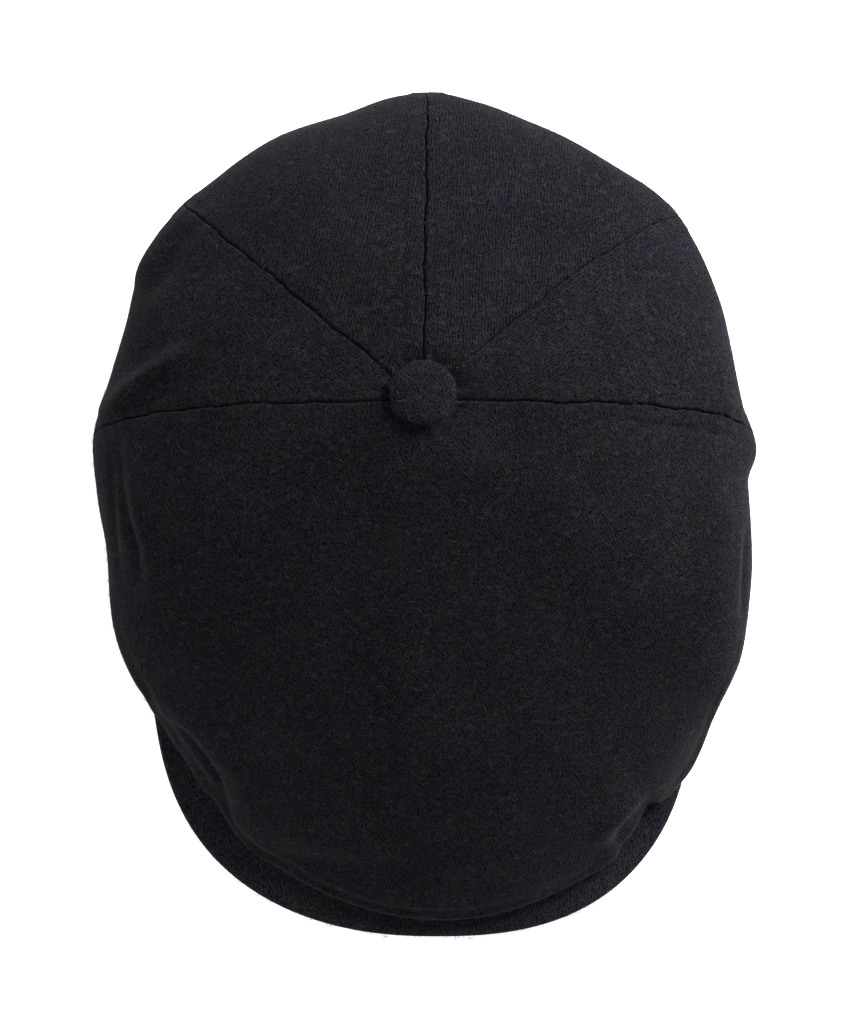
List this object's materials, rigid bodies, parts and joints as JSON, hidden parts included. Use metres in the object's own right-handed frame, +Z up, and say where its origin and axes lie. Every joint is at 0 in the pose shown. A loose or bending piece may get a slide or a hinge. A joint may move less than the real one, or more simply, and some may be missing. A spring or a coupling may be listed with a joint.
{
  "type": "hunting cap",
  "caption": "Soft flat cap with a full crown of sewn panels pressed down onto a short peak, and a covered button where the panels meet.",
  "frame": {"origin": "middle of the cap's box, on the surface that its rim rests on", "axes": "+Z up, -Y towards the peak, so +Y runs from the peak to the back of the head"},
  "size_m": [0.2256, 0.2896, 0.1055],
  "materials": {
    "crown_wool": "black wool twill, brushed, matt",
    "peak_wool": "black wool twill over a stiff board, matt",
    "button_wool": "black wool twill gathered over a button",
    "band_cloth": "black woven tape, matt"
  },
  "bodies": {
    "root": {"front_panel": "crown_wool", "side_panel_right": "crown_wool", "rear_panel_right": "crown_wool", "rear_panel_left": "crown_wool", "side_panel_left": "crown_wool", "peak": "peak_wool", "button": "button_wool", "head_band": "band_cloth"}
  },
  "joints": []
}
